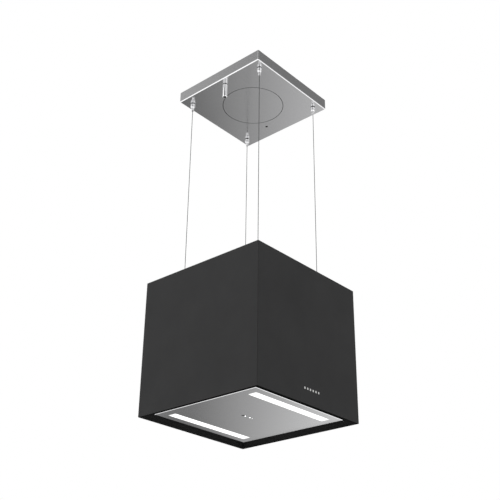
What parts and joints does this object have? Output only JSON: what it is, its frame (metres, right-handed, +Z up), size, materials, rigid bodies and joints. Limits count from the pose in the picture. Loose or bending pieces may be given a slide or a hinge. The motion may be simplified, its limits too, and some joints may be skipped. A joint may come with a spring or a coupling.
{
  "type": "island range hood",
  "caption": "Square island cooker hood hung on steel wires from a ceiling canopy, with edge suction, strip lights, hinged steel bottom panel and recirculating blower.",
  "frame": {"origin": "centre of the four ceiling bolt holes, in the plane of the ceiling", "axes": "+Z up out of the ceiling plane; -Y is the front face; +X is to the right when facing the front"},
  "size_m": [0.45, 0.45, 1.142],
  "materials": {
    "brushed_steel": "fine brushed, semi-bright",
    "galvanised": "plain galvanised sheet",
    "black_paint": "satin near-black powder paint",
    "chrome": "polished",
    "wire_steel": "stranded bright steel wire",
    "spring_steel": "bright drawn",
    "motor_steel": "silver paint",
    "dark_screw": "black",
    "black_plastic": "fine texture",
    "white_plastic": "smooth",
    "rubber": "matt",
    "charcoal": "black cassette",
    "magnet": "dark ceramic",
    "circuit_board": "solder mask",
    "circuit_board_white": "white solder mask",
    "filter_aluminium": "mill",
    "light_aluminium": "satin",
    "opal": "opal, lit from behind",
    "dark_window": "dark infrared window"
  },
  "bodies": {
    "ceiling": {"ceiling_bracket": "galvanised", "canopy": "brushed_steel", "disc_seat_ring": "black_paint", "disc_magnets": "magnet", "cover_disc": "brushed_steel", "canopy_screw": "dark_screw", "gripper_bodies": "chrome", "gripper_nuts": "galvanised", "gripper_springs": "spring_steel", "cable_gland": "chrome", "gland_nut": "galvanised", "supply_terminal": "white_plastic", "suspension_wires": "wire_steel"},
    "nose_1": {"gripper_nose_1": "chrome"},
    "nose_2": {"gripper_nose_2": "chrome"},
    "nose_3": {"gripper_nose_3": "chrome"},
    "nose_4": {"gripper_nose_4": "chrome"},
    "hood": {"front_panel": "black_paint", "rear_panel": "black_paint", "left_panel": "black_paint", "right_panel": "black_paint", "corner_posts": "black_paint", "top_plate": "galvanised", "casing_screws": "dark_screw", "outlet_grille": "black_plastic", "wire_anchors": "chrome", "anchor_nuts": "galvanised", "wire_ferrules": "spring_steel", "inlet_gland": "black_plastic", "scroll_housing": "galvanised", "scroll_side_plate": "galvanised", "inlet_rings": "black_plastic", "motor": "motor_steel", "motor_bracket": "galvanised", "motor_grommets": "rubber", "charcoal_filters": "charcoal", "capacitor": "white_plastic", "electronics_box": "white_plastic", "electronics_lid": "white_plastic", "control_board": "circuit_board", "filter_plate": "brushed_steel", "grease_filter_left": "filter_aluminium", "grease_filter_right": "filter_aluminium", "filter_meshes": "filter_aluminium", "latch_springs": "spring_steel", "panel_brackets": "galvanised", "hinge_pins": "spring_steel", "catch_magnets": "magnet"},
    "latch_left": {"filter_latch_left": "black_plastic"},
    "latch_right": {"filter_latch_right": "black_plastic"},
    "panel": {"bottom_panel": "brushed_steel", "light_housings": "light_aluminium", "light_boards": "circuit_board_white", "light_diffusers": "opal", "catch_keepers": "galvanised", "indicator_board": "circuit_board", "receiver_window": "dark_window", "indicator_windows": "opal"},
    "rotor": {"impeller": "black_plastic", "motor_shaft": "spring_steel"}
  },
  "joints": [
    {"name": "height_adjust", "type": "slide", "parent": "ceiling", "child": "hood", "axis": [0, 0, 1], "range_m": [0, 0.4], "deforming": ["suspension_wires"]},
    {"name": "gripper_press_1", "type": "slide", "parent": "ceiling", "child": "nose_1", "axis": [0, 0, 1], "range_m": [0, 0.004], "stiffness_N_per_m": 800, "springref_m": -0.002, "deforming": ["gripper_springs"]},
    {"name": "gripper_press_2", "type": "slide", "parent": "ceiling", "child": "nose_2", "axis": [0, 0, 1], "range_m": [0, 0.004], "stiffness_N_per_m": 800, "springref_m": -0.002, "deforming": ["gripper_springs"]},
    {"name": "gripper_press_3", "type": "slide", "parent": "ceiling", "child": "nose_3", "axis": [0, 0, 1], "range_m": [0, 0.004], "stiffness_N_per_m": 800, "springref_m": -0.002, "deforming": ["gripper_springs"]},
    {"name": "gripper_press_4", "type": "slide", "parent": "ceiling", "child": "nose_4", "axis": [0, 0, 1], "range_m": [0, 0.004], "stiffness_N_per_m": 800, "springref_m": -0.002, "deforming": ["gripper_springs"]},
    {"name": "panel_hinge", "type": "hinge", "parent": "hood", "child": "panel", "pos_m": [0, 0.182, -1.117], "axis": [1, 0, 0], "range_deg": [0, 88]},
    {"name": "latch_left_pull", "type": "slide", "parent": "hood", "child": "latch_left", "axis": [0, 1, 0], "range_m": [0, 0.007], "stiffness_N_per_m": 400, "springref_m": -0.004, "deforming": ["latch_springs"]},
    {"name": "latch_right_pull", "type": "slide", "parent": "hood", "child": "latch_right", "axis": [0, 1, 0], "range_m": [0, 0.007], "stiffness_N_per_m": 400, "springref_m": -0.004, "deforming": ["latch_springs"]},
    {"name": "impeller_spin", "type": "hinge", "parent": "hood", "child": "rotor", "pos_m": [0, 0.016, -0.927], "axis": [1, 0, 0], "continuous": true}
  ]
}
